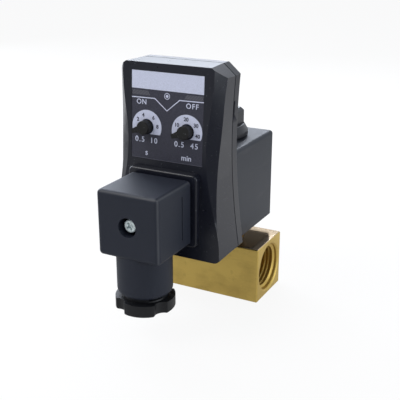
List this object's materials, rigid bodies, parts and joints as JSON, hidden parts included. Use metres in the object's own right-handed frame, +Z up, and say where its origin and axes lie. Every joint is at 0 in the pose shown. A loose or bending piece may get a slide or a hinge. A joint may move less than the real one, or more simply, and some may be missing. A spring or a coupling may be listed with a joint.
{
  "type": "automatic drain valve",
  "caption": "Timed automatic drain valve: brass two-way solenoid body with G 1/2 ports, moulded coil, clip-on timer with two dials, and a cable plug with gland.",
  "frame": {"origin": "centre of the brass body's underside, on the solenoid's axis", "axes": "+Z up along the solenoid, +X along the flow from inlet to outlet, -Y towards the front with the timer's dials and the plug"},
  "size_m": [0.06, 0.0913, 0.1095],
  "materials": {
    "brass": "machined",
    "steel": "satin",
    "zinc": "zinc plated",
    "coil_resin": "satin",
    "housing": "gloss",
    "plug_plastic": "matt",
    "nut_plastic": "satin",
    "label": "printed",
    "rubber": "matt",
    "copper": "enamelled wire",
    "board": "lacquered",
    "knob_plastic": "satin",
    "pot_blue": "moulded",
    "lamp_red": "tinted",
    "terminal_plastic": "moulded"
  },
  "bodies": {
    "valve": {"valve_body": "brass", "bonnet": "brass", "bonnet_o_ring": "rubber", "stem_tube": "steel", "fixed_core": "steel", "nut_washer": "steel", "coil_nut": "nut_plastic"},
    "plunger": {"plunger": "steel", "plunger_seal": "rubber", "plunger_spring": "steel"},
    "head": {"coil_body": "coil_resin", "coil_yoke": "steel", "coil_winding": "copper", "coil_screw_insert": "brass", "coil_terminals": "zinc", "coil_gasket": "rubber", "timer_rear_shell": "housing", "timer_front_shell": "housing", "timer_label": "label", "circuit_board": "board", "board_components": "knob_plastic", "seconds_potentiometer": "pot_blue", "minutes_potentiometer": "pot_blue", "test_switch": "terminal_plastic", "indicator_lamps": "lamp_red", "timer_pins": "zinc", "coil_sockets": "zinc", "plug_seal": "rubber", "plug_housing": "plug_plastic", "terminal_block": "terminal_plastic", "plug_contacts": "zinc", "terminal_screws": "zinc", "screw_seal": "rubber", "fixing_screw": "zinc", "gland_nut": "plug_plastic", "gland_washer": "steel", "gland_grommet": "rubber"},
    "seconds_dial": {"seconds_knob": "knob_plastic"},
    "minutes_dial": {"minutes_knob": "knob_plastic"},
    "test_button": {"test_plunger": "knob_plastic"}
  },
  "joints": [
    {"name": "plunger_lift", "type": "slide", "parent": "valve", "child": "plunger", "axis": [0, 0, 1], "range_m": [0, 0.002], "stiffness_N_per_m": 300, "springref_m": -0.006, "deforming": ["plunger_spring"]},
    {"name": "coil_swivel", "type": "hinge", "parent": "valve", "child": "head", "pos_m": [0, 0, 0.031], "axis": [0, 0, 1], "continuous": true},
    {"name": "seconds_turn", "type": "hinge", "parent": "head", "child": "seconds_dial", "pos_m": [-0.0093, -0.03999, 0.0835], "axis": [0, 0.9981, -0.061], "range_deg": [0, 250]},
    {"name": "minutes_turn", "type": "hinge", "parent": "head", "child": "minutes_dial", "pos_m": [0.0093, -0.03999, 0.0835], "axis": [0, 0.9981, -0.061], "range_deg": [0, 250]},
    {"name": "test_press", "type": "slide", "parent": "head", "child": "test_button", "axis": [0, 0.9981, -0.061], "range_m": [0, 0.0003], "stiffness_N_per_m": 400, "springref_m": -0.002}
  ]
}
